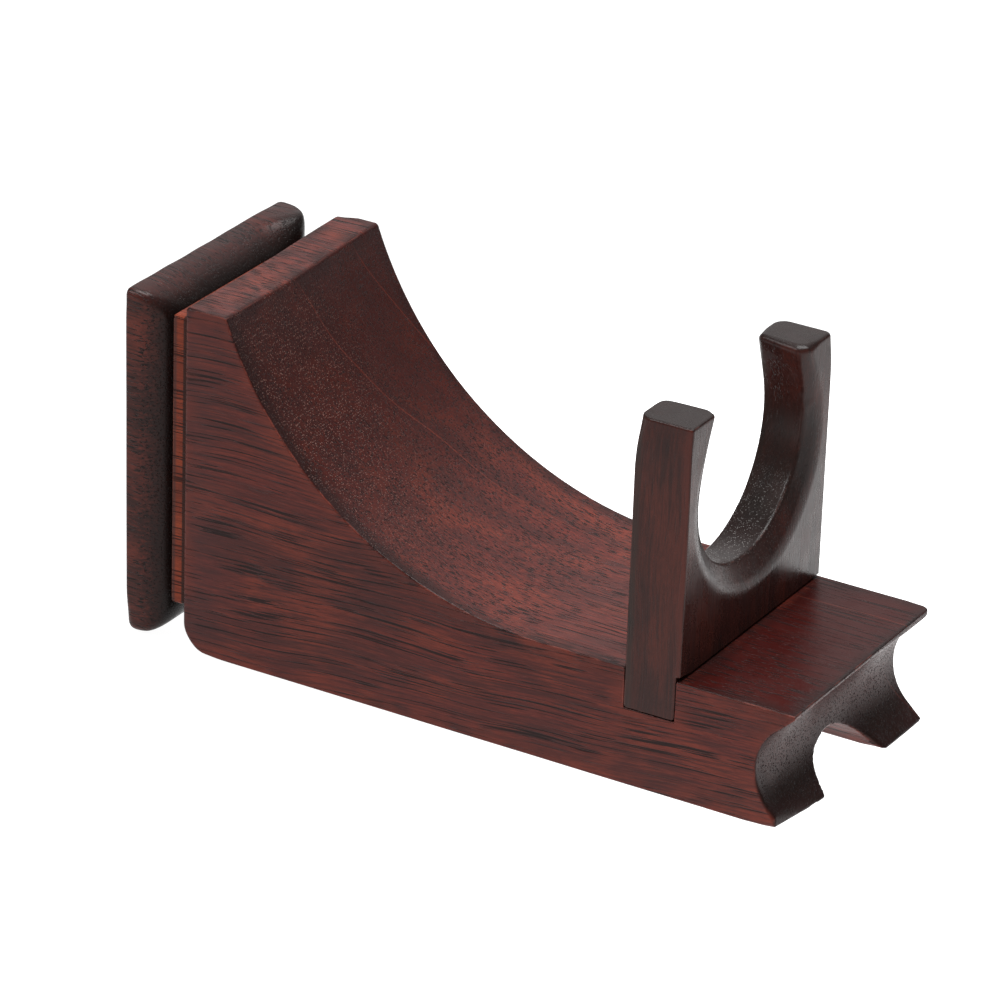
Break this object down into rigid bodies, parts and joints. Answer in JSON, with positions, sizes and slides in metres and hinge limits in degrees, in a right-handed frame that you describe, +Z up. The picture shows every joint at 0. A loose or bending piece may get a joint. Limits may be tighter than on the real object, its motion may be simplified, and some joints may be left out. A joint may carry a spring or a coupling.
{
  "type": "dip pen holder",
  "caption": "Wooden dip pen stand: a hollowed back rest on a long base, a U shaped fork let into the base, and a rounded end plate on a thin spacer.",
  "frame": {"origin": "under the middle of the whole stand, on the surface that it stands on", "axes": "+Z up, +X from the end plate to the lip over the end cove, Y across the stand"},
  "size_m": [0.1024, 0.038, 0.0522],
  "materials": {
    "body_wood": "dark stained open pored hardwood, satin lacquer",
    "fork_wood": "very dark stained hardwood, satin lacquer",
    "spacer_wood": "red brown hardwood, satin",
    "plate_wood": "dark stained hardwood, satin lacquer",
    "dowel_wood": "bare beech"
  },
  "bodies": {
    "root": {"body": "body_wood", "pen_fork": "fork_wood", "spacer": "spacer_wood", "end_plate": "plate_wood", "dowel_upper": "dowel_wood", "dowel_lower": "dowel_wood"}
  },
  "joints": []
}
